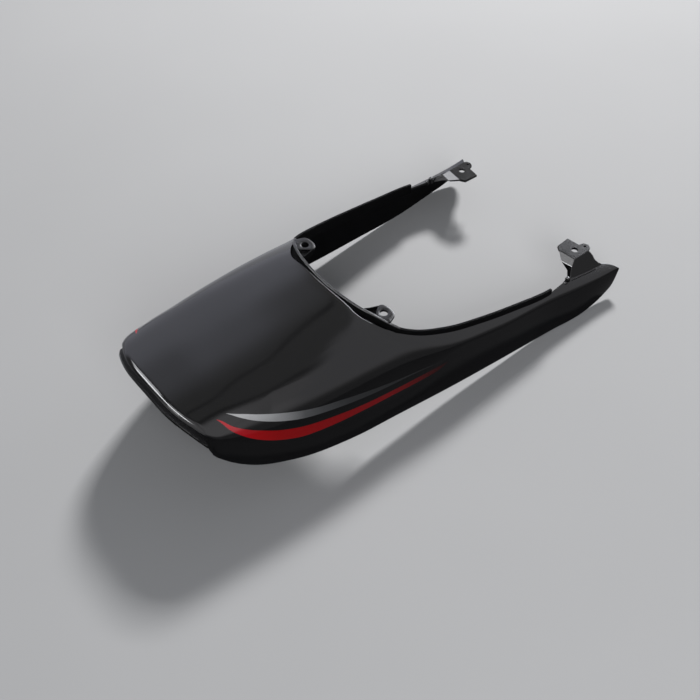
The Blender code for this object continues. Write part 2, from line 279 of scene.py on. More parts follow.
# Mesh from whole arrays: points in the frame's metres, faces as rows of four, one value per point
def meshFrom(name, points, quads, extras=None):
    mesh = bpy.data.meshes.new(name)
    points = np.asarray(points, float).reshape(-1, 3)
    mesh.vertices.add(len(points))
    mesh.vertices.foreach_set("co", points.ravel())
    quads = np.asarray(quads, int)
    mesh.loops.add(quads.size)
    mesh.loops.foreach_set("vertex_index", quads.ravel())
    mesh.polygons.add(len(quads))
    mesh.polygons.foreach_set("loop_start", np.arange(len(quads)) * quads.shape[1])
    mesh.update(calc_edges=True)
    for key, values in (extras or {}).items():
        layer = mesh.attributes.new(key, "FLOAT", "POINT")
        layer.data.foreach_set("value", np.asarray(values, float).ravel())
    return mesh


# Mesh of some grids of drawn points and of their mirror images
def bothSides(name, grids, extras=None):
    points, quads, start = [], [], 0
    for sign in (1, -1):
        for grid in grids:
            points.append((toFrame(grid) * [sign, 1, 1]).reshape(-1, 3))
            quads.append(gridFaces(*grid.shape[:2], start, flip=sign < 0))
            start += grid.shape[0] * grid.shape[1]
    return meshFrom(name, np.concatenate(points), np.concatenate(quads), extras)


# A piece from its mesh: smooth, with its materials, riding on the body in the solid's place
def placed(name, mesh, materials):
    thing = bpy.data.objects.new(name, mesh)
    bpy.context.scene.collection.objects.link(thing)
    for material in materials:
        mesh.materials.append(material)
    mesh.shade_smooth()
    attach(thing, "root")
    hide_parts("tail_fairing")
    return thing


# Points nearer than the distance joined, faces turned outwards, edges over the angle kept sharp
def merged(mesh, distance, sharpAngle=None):
    bm = bmesh.new()
    bm.from_mesh(mesh)
    bmesh.ops.remove_doubles(bm, verts=bm.verts, dist=distance)
    bmesh.ops.dissolve_degenerate(bm, dist=distance, edges=bm.edges)
    bmesh.ops.recalc_face_normals(bm, faces=bm.faces)
    bm.to_mesh(mesh)
    bm.free()
    if sharpAngle:
        mesh.set_sharp_from_angle(angle=math.radians(sharpAngle))


# An open sheet's faces turned so that its highest face looks up
def facingUp(mesh):
    top = max(mesh.polygons, key=lambda face: face.center.z)
    if top.normal.z < 0:
        mesh.flip_normals()


# A bevel of the edges over an angle
def bevelled(thing, name, width, segments, angle):
    bevel = thing.modifiers.new(name, "BEVEL")
    bevel.width = width
    bevel.segments = segments
    bevel.limit_method = "ANGLE"
    bevel.angle_limit = math.radians(angle)


# A sheet made thick inwards: the inside takes the next material slot, and so does the rim by rimSlot 1
def thickened(thing, name, thickness, even, rimSlot):
    sheet = thing.modifiers.new(name, "SOLIDIFY")
    sheet.thickness = thickness
    sheet.offset = -1.0
    sheet.use_even_offset = even
    sheet.material_offset = 1
    sheet.material_offset_rim = rimSlot


# A new node material, its tree and its shader
def nodesOf(name):
    material = bpy.data.materials.new(name)
    material.use_nodes = True
    tree = material.node_tree
    return material, tree, tree.nodes["Principled BSDF"]


# A node with its settings made first, then its inputs: sockets are linked and plain values are set
def addNode(tree, kind, inputs=None, **settings):
    node = tree.nodes.new(kind)
    for key, value in settings.items():
        setattr(node, key, value)
    for key, value in (inputs or {}).items():
        if isinstance(value, bpy.types.NodeSocket):
            tree.links.new(value, node.inputs[key])
        else:
            node.inputs[key].default_value = value
    return node


# Colour ramp with a stop for each pair of place and colour
def rampOf(tree, stops, lead):
    ramp = addNode(tree, "ShaderNodeValToRGB", {"Fac": lead})
    while len(ramp.color_ramp.elements) < len(stops):
        ramp.color_ramp.elements.new(0.5)
    for element, (place, colour) in zip(ramp.color_ramp.elements, stops):
        element.position = place
        element.color = (*colour, 1)
    return ramp.outputs["Color"]


# Colour ramp whose stops are pairs of place and share of one colour
def tonesOf(tree, colour, tones, lead):
    return rampOf(tree, [(place, [c * share for c in colour]) for place, share in tones], lead)


# Noise with its scale, detail and roughness
def noiseOf(tree, coords, scale, detail, roughness, output="Fac"):
    inputs = {"Vector": coords, "Scale": scale, "Detail": detail, "Roughness": roughness}
    return addNode(tree, "ShaderNodeTexNoise", inputs).outputs[output]


# A value led from its old span to a new one, straight or by a smooth step
def spanOf(tree, lead, old, new=(0.0, 1.0), kind="LINEAR"):
    inputs = {"Value": lead, "From Min": old[0], "From Max": old[1], "To Min": new[0], "To Max": new[1]}
    return addNode(tree, "ShaderNodeMapRange", inputs, interpolation_type=kind).outputs["Result"]


# Two numbers divided, multiplied or compared
def mathOf(tree, kind, first, second):
    return addNode(tree, "ShaderNodeMath", {0: first, 1: second}, operation=kind).outputs["Value"]


# Two vectors, or a vector and a number, worked together
def vectorOf(tree, kind, inputs, output="Vector"):
    return addNode(tree, "ShaderNodeVectorMath", inputs, operation=kind).outputs[output]


# Colour led from the first to the second by the factor
def mixOf(tree, factor, first, second, kind="MIX"):
    inputs = {"Factor": factor, "A": first, "B": second}
    return addNode(tree, "ShaderNodeMix", inputs, data_type="RGBA", blend_type=kind).outputs["Result"]


# The normal bent by a grain, by its strength and its height in metres
def bumpOn(tree, shader, grain, strength, distance):
    bump = addNode(tree, "ShaderNodeBump", {"Height": grain, "Strength": strength, "Distance": distance})
    tree.links.new(bump.outputs["Normal"], shader.inputs["Normal"])


paint = {
    "black": (0.0035, 0.0035, 0.004),
    # rib and colour: painted shade, as both sweeps darken along the ribs towards the arms
    "red": [(0, (0.42, 0.004, 0.012)), (35, (0.48, 0.003, 0.012)), (58, (0.36, 0.002, 0.004)),
            (78, (0.29, 0.001, 0.002)), (150, (0.22, 0.001, 0.003)), (210, (0.17, 0.002, 0.004)),
            (237, (0.11, 0.002, 0.003)), (262, (0.045, 0.002, 0.003)), (288, (0.012, 0.002, 0.002))],
    "silver": [(0, (0.50, 0.505, 0.515)), (55, (0.47, 0.475, 0.485)), (70, (0.42, 0.425, 0.435)),
               (95, (0.235, 0.238, 0.245)), (110, (0.11, 0.112, 0.117)), (130, (0.068, 0.07, 0.074)),
               (165, (0.035, 0.036, 0.038)), (290, (0.012, 0.012, 0.013))],
    "shadeFadeOver": 300.0,  # ribs that the two painted shade fades span
    "roughness": (0.072, 0.144),
    "ior": 1.40,
    "edgeSoft": 0.25,  # millimetres on each side over which a sweep's edge fades
    # scale, detail and roughness of each noise
    "flake": (2600.0, 2.0, 0.5),
    "dust": (900.0, 3.0, 0.7),
    "haze": (14.0, 5.0, 0.6),
    "peel": (520.0, 1.5, 0.5),  # orange peel of the sprayed coat
    "flakeTone": [(0.35, 0.84), (0.68, 1.0)],  # the flake's noise, and the share of the silver there
    "dustTone": [(0.55, 0.0), (0.78, 0.006)],  # the dust's noise, and what it adds to the black there
    "hazeSpan": (0.3, 0.75),  # the haze's noise from the least to the most roughness
    "peelBump": (0.012, 0.001),
}


# Black gloss under clear coat. A sweep's mask is a smooth step over the lesser of its two signed
# distances, kept on the mesh, and its colour darkens along the ribs towards the arms, which is painted
# shade.
# Flake breaks up the silver, dust lifts the black, haze varies the gloss and orange peel bends the normal.
def glossPaint():
    material, tree, shader = nodesOf("black_gloss_paint_sweeps")
    coords = addNode(tree, "ShaderNodeTexCoord").outputs["Object"]

    def kept(key):
        return addNode(tree, "ShaderNodeAttribute", attribute_name=key).outputs["Fac"]

    share = mathOf(tree, "DIVIDE", kept("ribAt"), paint["shadeFadeOver"])
    soft = (-paint["edgeSoft"], paint["edgeSoft"])
    masks, shadedFades = {}, {}
    for key in ("red", "silver"):
        away = mathOf(tree, "MINIMUM", kept(key + "UnderTop"), kept(key + "OverLow"))
        masks[key] = spanOf(tree, away, soft, kind="SMOOTHSTEP")
        # each sweep's colour ramp along the ribs is painted shade, darker towards the arms
        shadedFades[key] = rampOf(tree, [(at / paint["shadeFadeOver"], colour) for at, colour in paint[key]], share)
    sparkle = tonesOf(tree, (1, 1, 1), paint["flakeTone"], noiseOf(tree, coords, *paint["flake"]))
    silver = mixOf(tree, 1.0, shadedFades["silver"], sparkle, "MULTIPLY")
    black = rampOf(tree, [(at, [c + lift for c in paint["black"]]) for at, lift in paint["dustTone"]],
                   noiseOf(tree, coords, *paint["dust"]))
    withRed = mixOf(tree, masks["red"], black, shadedFades["red"])
    tree.links.new(mixOf(tree, masks["silver"], withRed, silver), shader.inputs["Base Color"])
    haze = noiseOf(tree, coords, *paint["haze"])
    tree.links.new(spanOf(tree, haze, paint["hazeSpan"], paint["roughness"]), shader.inputs["Roughness"])
    bumpOn(tree, shader, noiseOf(tree, coords, *paint["peel"]), *paint["peelBump"])
    shader.inputs["IOR"].default_value = paint["ior"]
    return material


# The unpainted plastics: colour, least and most roughness, scale of the grain and strength of its bump,
# refraction index and specular level
plastic = {
    # bare: the raw inside, and painted shade where it covers the rear face and the groove
    "bare": {"colour": (0.0025, 0.0025, 0.0028), "rough": (0.5, 0.7), "grain": 700.0, "bump": 0.12,
             "ior": 1.25, "sheen": 0.3},
    # dull: painted shade, darker than the satin, on the lip's sides and caps, the tabs' ribs and webs and
    # the foot lines
    "dull": {"colour": (0.0016, 0.0016, 0.0018), "rough": (0.6, 0.8), "grain": 600.0, "bump": 0.2,
             "ior": 1.22, "sheen": 0.3},
    "satin": {"colour": (0.0045, 0.0045, 0.005), "rough": (0.24, 0.34), "grain": 1100.0, "bump": 0.05,
              "ior": 1.45, "sheen": 0.5},
    "bracket": {"colour": (0.004, 0.004, 0.0045), "rough": (0.12, 0.18), "grain": 1300.0, "bump": 0.03,
                "ior": 1.5, "sheen": 0.5},
}
# What they share: the grain's detail, noise roughness and height, the mottle and its tones
moulded = {
    "grain": (3.0, 0.5),
    "grainHigh": 0.0004,
    "mottle": (35.0, 4.0, 0.5),
    "mottleTone": [(0.3, 0.75), (0.7, 1.3)],  # the mottle's noise, and the share of the colour there
}


# Unpainted black plastic: fine grain in bump and roughness, faint mottling in colour
def blackPlastic(name, look):
    material, tree, shader = nodesOf(name)
    coords = addNode(tree, "ShaderNodeTexCoord").outputs["Object"]
    grain = noiseOf(tree, coords, look["grain"], *moulded["grain"])
    mottle = noiseOf(tree, coords, *moulded["mottle"])
    tone = tonesOf(tree, look["colour"], moulded["mottleTone"], mottle)
    tree.links.new(tone, shader.inputs["Base Color"])
    tree.links.new(spanOf(tree, grain, (0.0, 1.0), look["rough"]), shader.inputs["Roughness"])
    bumpOn(tree, shader, grain, look["bump"], moulded["grainHigh"])
    shader.inputs["IOR"].default_value = look["ior"]
    shader.inputs["Specular IOR Level"].default_value = look["sheen"]
    return material


glossBlack = glossPaint()
bareBlackAndShade = blackPlastic("bare_black_inside_and_painted_shade", plastic["bare"])
shadedDullBlack = blackPlastic("dull_black_painted_shade", plastic["dull"])
satinBlack = blackPlastic("satin_black_lip", plastic["satin"])
bracketBlack = blackPlastic("smooth_black_brackets", plastic["bracket"])
print("finishes ready")

sweeps = {
    "leftDrop": {"red": 2.6, "silver": 11.0},  # on the left the sweeps start this much lower and later
    "leftLate": {"red": 6.0, "silver": 8.0},
    "leftEnd": 95.0,  # the rib by which that is evened out
    "ease": (0.05, 3.0),  # least and most that the edges are averaged along the ribs
    "tipEase": 2.2,  # and how quickly that falls towards a tip
    "off": -9.0,  # distance kept on the deck, which has no sweeps
    # rib, distance up the side from the lower edge (mm) of each sweep's two edges
    "silverTop": [(12.3, 52.0), (23.3, 56.2), (33.5, 59.2), (59, 62.1), (82, 60.9), (104.6, 59),
                  (127.4, 56.5), (151, 54.7), (174.6, 52.6), (199, 50.1), (224, 48.2), (250, 47.5),
                  (285, 46.5)],
    "silverLow": [(12.3, 52.0), (23.9, 54.8), (34.8, 55.9), (47.7, 56.1), (59.6, 55.8), (70.8, 54.5),
                  (81.6, 53.1), (103.3, 50.8), (126, 49.1), (149.5, 47.6), (173.5, 46.5), (198.3, 45.6),
                  (240, 45.9), (285, 46.5)],
    "redTop": [(1.1, 41.8), (7.2, 42.9), (23.9, 44.9), (37.4, 46.2), (48.9, 46.7), (60, 46.6), (80.8, 43.8),
               (102, 41.8), (124.5, 40.4), (148, 39.1), (172, 38.2), (197, 37.7), (223, 38.0), (255, 39.7),
               (287, 42.3)],
    "redLow": [(1.1, 41.8), (8.2, 41.4), (25.4, 40.9), (38.2, 40.2), (49.3, 38.5), (59.8, 36.7),
               (69.8, 34.4), (79.7, 32.3), (100.2, 29.5), (122.8, 29.3), (146.5, 29.5), (171, 30.6),
               (196.5, 31.1), (222.5, 31.8), (248.7, 33), (261.7, 34.3), (274.8, 37), (287, 42.3)],
}


# Signed distances to a sweep's two edges, upper minus here and here minus lower, in millimetres, both
# less the way past its ends
def sweepAway(rib, girth, key):
    first, last = sweeps[key + "Top"][0][0], sweeps[key + "Top"][-1][0]
    spread = np.clip(np.minimum(rib - first, last - rib) / sweeps["tipEase"], *sweeps["ease"])
    upper = flowing(sweeps[key + "Top"], rib, spread)[..., 0]
    under = flowing(sweeps[key + "Low"], rib, spread)[..., 0]
    past = np.maximum(first - rib, 0) + np.maximum(rib - last, 0)
    return upper - girth - past, girth - under - past


# Even rib numbers along each stretch, with no rib twice
def ribsAlong(stretches):
    runs = [np.linspace(*stretch)[:-1] for stretch in stretches]
    return np.append(np.concatenate(runs), stretches[-1][1])


# One half: the ribs from the tail's middle to the arm's tip, and the deck inside them. The deck's front
# edge stops short of the lip by the groove's gap, rolls down in a quarter circle, drops to the groove's
# depth and runs in under the lip. All of that fades out at the corner.
def halfShell():
    tailAt, sideAt = ribsAlong(shell["tailRibs"]), ribsAlong(shell["sideRibs"])
    around = np.concatenate([tailAt, sideAt[1:], ribsAlong(shell["armRibs"])[1:]])
    band = shellRibs(around)
    girth = wayAlong(band)
    rib = np.broadcast_to(around[:, None], girth.shape)
    ends = band[:, -1, :2]
    tail, side = ends[:len(tailAt)], ends[len(tailAt) - 1:len(tailAt) + len(sideAt) - 1]
    front = openingPath(len(tailAt))
    back = squareTo(front)
    u = np.linspace(0, 1, len(tailAt))
    fade = easeStep((1 - u) / shell["grooveEnds"])[:, None]
    wide, deep = through(shell["groove"], u).T[..., None]
    gap = (wide + shell["grooveFrom"]) * fade
    roll = shell["edgeRoll"] * fade
    shortFront = front + back * (gap + roll)
    shortFront[-1] = side[-1]
    patch = deckPatch(tail, side, shortFront)
    lean = np.concatenate([-back, np.zeros((len(back), 1))], 1)
    up = np.array([0, 0, 1])
    turned = np.radians(np.linspace(0, 90, shell["rollSteps"] + 1))[1:, None, None]
    rolled = patch[-1] + lean * roll * np.sin(turned) - up * roll * (1 - np.cos(turned))
    wallFoot = rolled[-1] - up * (deep - shell["edgeRoll"]) * fade
    floorEnd = wallFoot + lean * gap * shell["grooveFloor"]
    patch = np.concatenate([patch, rolled, wallFoot[None], floorEnd[None]])
    return band, girth, rib, patch


# Material slots of the ribs' faces: bare black as painted shade between the rear face's bead and the roll
# above, else the gloss paint
def shadedRearFace(girth, rib):
    lastRib, overBead, underRoll = shell["bare"]
    high = (girth[:-1, :-1] + girth[1:, 1:]) / 2
    at = (rib[:-1, :-1] + rib[1:, 1:]) / 2
    roll = girth[:-1, shell["sideSteps"]][:, None]
    inside = (at < lastRib) & (high > shell["bead"][0] + overBead) & (high < roll - underRoll)
    return np.where(inside, shell["shadeSlot"], 0).ravel()


# Material slots of the deck's faces: the bare black as painted shade on the groove's wall and floor, its
# last two rows
def shadedGroove(patch):
    slots = np.zeros((patch.shape[0] - 1, patch.shape[1] - 1), int)
    slots[-2:] = shell["shadeSlot"]
    return slots.ravel()


# Both halves in one mesh, which keeps the sweeps' distances at its points, given its wall inwards
def buildShell():
    band, girth, rib, patch = halfShell()
    off = np.full(patch.shape[0] * patch.shape[1], sweeps["off"])
    kept = {"ribAt": [rib.ravel(), np.zeros_like(off)] * 2}
    for left in (0, 1):
        aside = left * (1 - easeStep(rib / sweeps["leftEnd"]))
        for key in ("red", "silver"):
            later, higher = rib - sweeps["leftLate"][key] * aside, girth + sweeps["leftDrop"][key] * aside
            for edge, away in zip(("UnderTop", "OverLow"), sweepAway(later, higher, key)):
                kept.setdefault(key + edge, []).extend([away.ravel(), off])
    extras = {key: np.concatenate(values) for key, values in kept.items()}
    mesh = bothSides("tailShell", [band, patch], extras)
    slots = np.concatenate([shadedRearFace(girth, rib), shadedGroove(patch)])
    mesh.polygons.foreach_set("material_index", np.tile(slots, 2))
    merged(mesh, drawn["weld"])
    facingUp(mesh)
    # slot 2: the bare black as painted shade on the rear face and on the groove's wall and floor
    thing = placed("tailShell", mesh, [glossBlack, bareBlackAndShade, bareBlackAndShade, bareBlackAndShade])
    thickened(thing, "skin", shell["wall"], False, 0)
    bevelled(thing, "rim", *shell["rim"])
    return thing


tailShell = buildShell()
print("tail shell ready", len(tailShell.data.vertices))

lip = {
    "wall": 3.2,
    "deep": 13.5,
    "topRound": 0.9,
    "footCut": 0.5,  # slant of the foot's two corners
    "arcPoints": 6,
    "ends": (252, 449),  # ribs where its arms begin and where it ends
    "points": (60, 110, 170),  # of the rear edge, of an arm and of the whole half
    "ease": (3, 4),  # least and most that the half is averaged along its way
    "mostEased": (60, 130),  # ways between which that is most
    # share of the way from each end's middle, across, along and up, of the loops that close it
    "caps": [(1, 1, 1), (0.55, 0.55, 0.93), (0.02, 0.02, 0.8)],
    "sharp": 40,
    "satinTo": 246.0,  # along: where the satin top, the lit copy of the lip's material, ends
    # along the opening, height of the lip's top
    "top": [(219, 120.5), (228, 119), (240, 110.5), (247, 105.3), (258, 99.8), (292, 87.8),
            (342, 75.5), (393, 65), (449, 54.5)],
}


# The opening's edge from the middle to the end of the lip on the right arm, every 2 mm
def lipPath():
    rearCount, armCount, count = lip["points"]
    at = np.linspace(*lip["ends"], armCount)
    arm = flowing(shell["inner"] + shell["armInner"][1:], at, easeSpread(at))
    line = np.concatenate([openingPath(rearCount)[:-1], arm])
    way = wayAlong(line)
    even = np.linspace(0, way[-1], count)
    least, most = lip["ease"]
    spread = np.interp(even, [0, *lip["mostEased"], way[-1]], [least, most, most, least])
    return flowing(np.column_stack([way, line]).tolist(), even, spread, (0,))


# A closed section, rounded at the top, carried square to the opening's edge from arm to arm: satin on the
# rounded top behind the seat, dull elsewhere. Top and sides are lit and shaded copies of one material, the
# dull sides painted shade.
def buildLip():
    half = lipPath()
    line = np.concatenate([(half * [-1, 1])[:0:-1], half])
    up = through(lip["top"], line[:, 1])[:, 0]
    w, r, d, cut = lip["wall"] / 2, lip["topRound"], lip["deep"], lip["footCut"]
    arc = np.radians(np.linspace(0, 90, lip["arcPoints"]))
    section = np.concatenate([
        [(-w, -d + cut), (-w, -d / 2)],
        np.column_stack([-w + r - r * np.cos(arc), -r + r * np.sin(arc)]),
        np.column_stack([w - r + r * np.sin(arc), -r + r * np.cos(arc)]),
        [(w, -d / 2), (w, -d + cut), (w - cut, -d), (-w + cut, -d)]])
    across = line[:, None] + squareTo(line)[:, None] * section[None, :, :1]
    rise = up[:, None] + section[None, :, 1]
    grid = np.concatenate([across, rise[..., None]], -1)
    rows, cols = grid.shape[:2]
    ring = np.concatenate([grid, grid[:, :1]], 1)
    column = np.arange(cols)
    rounded = (column >= 2) & (column <= 2 * lip["arcPoints"])
    behind = (line[:-1, 1] < lip["satinTo"])[:, None]
    points, quads, start = [toFrame(ring).reshape(-1, 3)], [gridFaces(rows, cols + 1)], rows * (cols + 1)
    slots = [np.where(rounded & behind, 0, 1).ravel()]
    for end in (0, rows - 1):
        centre = ring[end, :-1].mean(0)
        cap = np.stack([centre + (ring[end] - centre) * share for share in lip["caps"]])
        points.append(toFrame(cap).reshape(-1, 3))
        quads.append(gridFaces(len(cap), cols + 1, start, flip=end > 0))
        slots.append(np.ones(len(quads[-1]), int))
        start += len(points[-1])
    mesh = meshFrom("openingLip", np.concatenate(points), np.concatenate(quads))
    mesh.polygons.foreach_set("material_index", np.concatenate(slots))
    merged(mesh, drawn["weld"], lip["sharp"])
    return placed("openingLip", mesh, [satinBlack, shadedDullBlack])


openingLip = buildLip()
print("lip ready")

tab = {
    "hole": (65.5, 243.2),
    "holeRadius": 4.3,
    "top": 112.5,
    "thick": 3.0,
    "outline": [(66.0, 231.6), (72.5, 234.6), (79.0, 239.0), (78.0, 243.0), (76.6, 246.8), (74.8, 249.6),
                (72.2, 251.4), (68.5, 252.2), (64.0, 252.2), (60.2, 251.7), (57.2, 250.6), (55.2, 248.6),
                (54.6, 246.2), (55.6, 243.4), (60.5, 237.2)],
    "points": (160, 241),  # of the outline, and of the ring about the hole
    "edge": (0.45, 0.135),  # the rounded edges' radius, and how far in their middle point lies
    "webPlan": [(50.2, 226.6), (67.0, 232.0), (62.0, 238.5), (55.6, 246.0)],
    "webTop": [112.4, 108.4, 108.0, 108.0],
    "webThick": 1.6,
    # the web's loops from its underside to its top: share of the way out, share of its thickness down
    "webLoops": [(0.0, 1.0), (0.97, 1.0), (1.0, 0.85), (1.0, 0.15), (0.97, 0.0), (0.0, 0.0)],
    "ribEnds": [(49.4, 226.9), (51.8, 235.5), (55.2, 246.4)],  # thin upright rib along the web's open side
    "ribTop": [115.8, 113.6, 112.3],
    "ribTall": 6.0,
    "ribThick": 1.3,
    "ribEased": (0.6, 0.3),  # share of its thickness that is level on top, drop of the slants beside it
    "sharp": 35,
}


# Distance from the middle to a closed outline along each angle, by the nearest edge that the ray crosses
def reachTo(outline, middle, angles):
    p = np.asarray(outline, float) - middle
    e = np.roll(p, -1, axis=0) - p
    d = np.stack([np.cos(angles), np.sin(angles)], 1)
    cross = d[:, None, 0] * e[None, :, 1] - d[:, None, 1] * e[None, :, 0]
    tiny = 1e-9  # stands for no angle between the ray and an edge
    cross = np.where(np.abs(cross) < tiny, tiny, cross)
    t = (p[None, :, 0] * e[None, :, 1] - p[None, :, 1] * e[None, :, 0]) / cross
    s = (p[None, :, 0] * d[:, None, 1] - p[None, :, 1] * d[:, None, 0]) / cross
    slack = 1e-6  # past an edge's ends
    good = (t > 0) & (s >= -slack) & (s <= 1 + slack)
    return np.where(good, t, np.inf).min(1)


# A ring of sections about the hole: down the bore, over the top and round the outline
def tabPlate():
    corners = np.array(tab["outline"] + tab["outline"][:1], float)
    walk = np.arange(len(corners))
    outlineCount, ringCount = tab["points"]
    outline = through(np.column_stack([walk, corners]), np.linspace(0, walk[-1], outlineCount))
    angles = np.linspace(0, 2 * np.pi, ringCount)
    far = reachTo(outline, np.array(tab["hole"]), angles)
    near = np.full_like(far, tab["holeRadius"])
    middle, h = (near + far) / 2, tab["thick"]
    e, c = tab["edge"]
    radius = np.stack([near, near, near + c, near + e, middle, far - e, far - c, far, far, far - e, middle,
                       near], 1)
    depth = np.array([-h, -e, -c, 0, 0, 0, -c, -e, -h + e, -h, -h, -h])
    return np.stack([tab["hole"][0] + radius * np.cos(angles)[:, None],
                     tab["hole"][1] + radius * np.sin(angles)[:, None],
                     np.broadcast_to(tab["top"] + depth, radius.shape)], -1)


# The web between lip and tab, drawn together to its middle above and below
def tabWeb():
    plan, high = np.array(tab["webPlan"]), np.array(tab["webTop"])
    middle, rise = plan.mean(0), high.mean()
    web = np.stack([np.column_stack([middle + (plan - middle) * share,
                                     rise + (high - rise) * share - depth * tab["webThick"]])
                    for share, depth in tab["webLoops"]])
    return np.concatenate([web, web[:, :1]], 1)


# The upright rib: a rectangle with eased top corners at each of its three stations, closed at both ends
def tabRib():
    line, crest = np.array(tab["ribEnds"]), np.array(tab["ribTop"])
    side = squareTo(line) * tab["ribThick"] / 2
    level, drop = tab["ribEased"]
    tall = tab["ribTall"]
    corners = [(1, tall), (1, drop), (level, 0), (-level, 0), (-1, drop), (-1, tall), (1, tall)]
    rib = np.array([[[*(line[k] + side[k] * out), crest[k] - under] for out, under in corners]
                    for k in (0, 0, 1, 2, 2)])
    rib[[0, -1]] = rib[[0, -1], :-1].mean(1)[:, None]
    return rib


# Both tabs, their plates satin, their ribs and webs in the dull black of painted shade
def buildTabs():
    parts = [tabPlate(), tabRib(), tabWeb()]
    mesh = bothSides("rearTabs", parts)
    counts = [len(gridFaces(*part.shape[:2])) for part in parts]
    mesh.polygons.foreach_set("material_index", np.tile(np.repeat([0, 1, 1], counts), 2))
    merged(mesh, drawn["fineWeld"], tab["sharp"])
    return placed("rearTabs", mesh, [satinBlack, shadedDullBlack])


rearTabs = buildTabs()
print("tabs ready")

bracket = {
    "plateUp": 58.0,
    "sheet": 0.003,
    "bend": (0.0007, 3, 15),  # radius, steps and least angle of the bends, then of the cut edges
    "edge": (0.00045, 2, 55),
    "level": 80,  # weight of the faces' area in the shading
    "bolt": (94.4, 514.2, 4.0, 40),  # across, along, radius and points of each hole
    "pin": (97.9, 528.0, 1.5, 20),
    "holeClear": 0.97,  # share of a hole's radius within which no triangle stays
    "corners": {
        "rearIn": (83, 500, 58), "sideIn": (77, 504, 58), "frontIn": (76, 522.5, 58),
        "earIn": (91.7, 524.5, 58), "earFront": (93.6, 530.8, 58), "earTip": (98.6, 533, 58),
        "earOut": (103.4, 530.8, 58), "plateOut": (105.3, 526, 58), "rearOut": (104.8, 502.5, 58),
        "foldIn": (94.2, 492.2, 53.6), "foldOut": (108.8, 495.2, 53), "neckIn": (105.3, 492, 46.9),
        "neckOut": (112.8, 489, 51), "footIn": (114.6, 482.6, 42.5), "footRear": (117.6, 484.8, 42.3),
        "footFront": (120.6, 543, 35.2), "webLow": (116.4, 534.8, 41.5), "webMid": (113.3, 531.2, 45.9),
        "webHigh": (109.4, 530.1, 51.2)},
    "plate": ["rearIn", "rearOut", "plateOut", "earOut", "earTip", "earFront", "earIn", "frontIn", "sideIn"],
    "facets": [["rearIn", "foldIn", "foldOut", "rearOut"], ["foldIn", "neckIn", "neckOut", "foldOut"],
               ["neckIn", "footIn", "footRear", "neckOut"],
               ["rearOut", "foldOut", "neckOut", "footRear", "footFront", "webLow", "webMid", "webHigh",
                "plateOut"]],
    # middle, half sizes, lowest and highest point of the two blocks behind each foot
    "blocks": [((115.6, 481.2), (2.6, 2.4), (41.0, 50.2)), ((116.6, 476.4), (2.4, 2.0), (41.0, 46.6))],
    "blockRound": 4.0,
    "blockPoints": (37, 19),
    "shadowLine": [(118.0, 484.8), (120.4, 527.0)],  # across, along: the dark bead outside each foot, a painted shadow line of the gap there
    "shadowLineRadius": 0.5,
    "shadowLineTips": 0.04,  # share of its length over which each end thins out
    "shadowLinePoints": (40, 13),
}


# Flat triangles between an outline and the circles cut out of it: those whose middle is inside by the
# count of outline edges to its right, and clear of the circles
def plateWithHoles(outline, holes, up):
    loops = [np.asarray(outline, float)]
    for x, y, radius, count in holes:
        turn = np.linspace(0, 2 * np.pi, count, endpoint=False)
        loops.append(np.column_stack([x + radius * np.cos(turn), y + radius * np.sin(turn)]))
    edges, start = [], 0
    for loop in loops:
        n = len(loop)
        edges += [(start + i, start + (i + 1) % n) for i in range(n)]
        start += n
    joinWithin = 1e-6
    corners = [Vector(p) for p in np.concatenate(loops)]
    where, _, tris, *_ = delaunay_2d_cdt(corners, edges, [], 0, joinWithin)
    where = np.array([tuple(p) for p in where])
    a, b = loops[0], np.roll(loops[0], -1, axis=0)
    keep = []
    for tri in tris:
        x, y = where[list(tri)].mean(0)
        level = (a[:, 1] > y) != (b[:, 1] > y)
        crossing = a[:, 0] + (b[:, 0] - a[:, 0]) * (y - a[:, 1]) / np.where(level, b[:, 1] - a[:, 1], 1)
        inside = np.sum(level & (x < crossing)) % 2
        if inside and all(np.hypot(x - h[0], y - h[1]) > h[2] * bracket["holeClear"] for h in holes):
            keep.append(list(tri))
    return np.column_stack([where, np.full(len(where), up)]), keep


# Superellipsoid: every power of the direction's cosine and sine is two over the roundness
def roundedBlock(middle, half, heights):
    around, over = bracket["blockPoints"]
    u = np.linspace(-np.pi, np.pi, around)[:, None]
    v = np.linspace(-np.pi / 2, np.pi / 2, over)[None]

    def eased(a):
        return np.sign(a) * np.abs(a) ** (2 / bracket["blockRound"])

    low, high = heights
    x = middle[0] + half[0] * eased(np.cos(v)) * eased(np.cos(u))
    y = middle[1] + half[1] * eased(np.cos(v)) * eased(np.sin(u))
    z = (low + high) / 2 + (high - low) / 2 * eased(np.sin(v)) + 0 * u
    return np.stack([x, y, z], -1)


# Two small rounded blocks at the rear of each bracket's foot
def buildBlocks():
    mesh = bothSides("footBlocks", [roundedBlock(*block) for block in bracket["blocks"]])
    merged(mesh, drawn["fineWeld"])
    return placed("footBlocks", mesh, [bracketBlack])


# A thin round bead laid on the arm's top along each foot, dark as a painted shadow line. It thins with the
# root of the way to its end.
def buildShadowLines():
    first, last = np.array(bracket["shadowLine"])
    rings, sides = bracket["shadowLinePoints"]
    share = np.linspace(0, 1, rings)
    line = first + (last - first) * share[:, None]
    toEnd = np.minimum(share, 1 - share) / bracket["shadowLineTips"]
    thin = bracket["shadowLineRadius"] * np.sqrt(np.clip(toEnd, 0.0, 1))[:, None]
    turn = np.linspace(0, 2 * np.pi, sides)
    ring = np.stack([thin * np.cos(turn), 0 * thin * turn, thin * np.sin(turn)], -1)
    mesh = bothSides("footShadowLines", [lifted(line)[:, None] + ring])
    merged(mesh, drawn["fineWeld"])
    return placed("footShadowLines", mesh, [shadedDullBlack])


